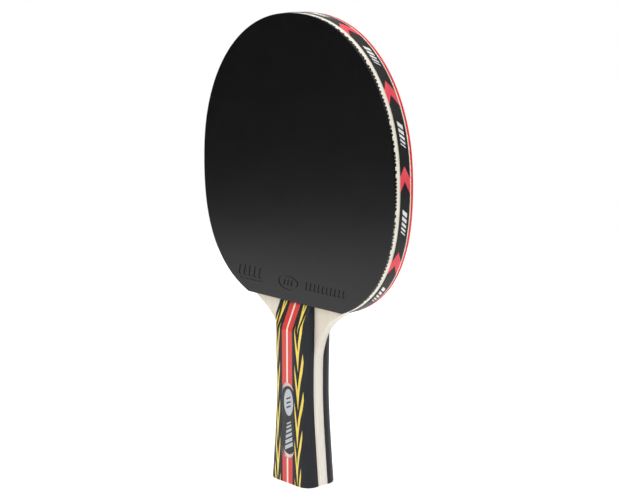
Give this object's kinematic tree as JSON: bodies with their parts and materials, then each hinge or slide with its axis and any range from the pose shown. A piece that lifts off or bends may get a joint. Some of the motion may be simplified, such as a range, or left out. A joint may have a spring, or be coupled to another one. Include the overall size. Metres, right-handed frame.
{
  "type": "table tennis paddle",
  "caption": "Table tennis paddle: plywood blade with a black and a red pips-in rubber, printed edge tape, and a flared laminated wood handle with a domed badge.",
  "frame": {"origin": "centre of the butt end of the handle, at the lowest point", "axes": "+Z along the handle to the head, -Y out of the black rubber (front), +X to the right when looking at the black rubber"},
  "size_m": [0.1506, 0.0236, 0.2515],
  "materials": {
    "core_wood": "bare light wood, clear sealed",
    "ply_wood": "bare wood, slightly pinkish",
    "face_wood": "bare pale wood, fine grain",
    "sponge": "cream closed-cell sponge",
    "black_rubber": "matt to satin black",
    "red_rubber": "satin red",
    "tape": "satin black film printed with red arrows and pale marks",
    "white_wood": "dyed and lacquered",
    "red_wood": "dyed and lacquered",
    "black_wood": "dyed and lacquered",
    "pattern_wood": "black with yellow flames, lacquered",
    "badge_film": "dark grey print",
    "silver_film": "silver print",
    "lens": "clear domed resin"
  },
  "bodies": {
    "root": {"blade_core": "core_wood", "blade_inner_ply_front": "ply_wood", "blade_inner_ply_back": "ply_wood", "blade_face_ply_front": "face_wood", "blade_face_ply_back": "face_wood", "sponge_front": "sponge", "sponge_back": "sponge", "topsheet_front": "black_rubber", "topsheet_back": "red_rubber", "edge_tape": "tape", "badge_film": "badge_film", "badge_oval": "silver_film", "badge_lens": "lens", "front_white_strip": "white_wood", "front_red_strip_left": "red_wood", "front_red_strip_right": "red_wood", "front_veneer_left": "black_wood", "front_veneer_right": "black_wood", "front_pattern_strip_left": "pattern_wood", "front_pattern_strip_right": "pattern_wood", "front_cheek_left": "black_wood", "front_cheek_right": "black_wood", "back_white_strip": "white_wood", "back_red_strip_left": "red_wood", "back_red_strip_right": "red_wood", "back_veneer_left": "black_wood", "back_veneer_right": "black_wood", "back_pattern_strip_left": "pattern_wood", "back_pattern_strip_right": "pattern_wood", "back_cheek_left": "black_wood", "back_cheek_right": "black_wood"}
  },
  "joints": []
}
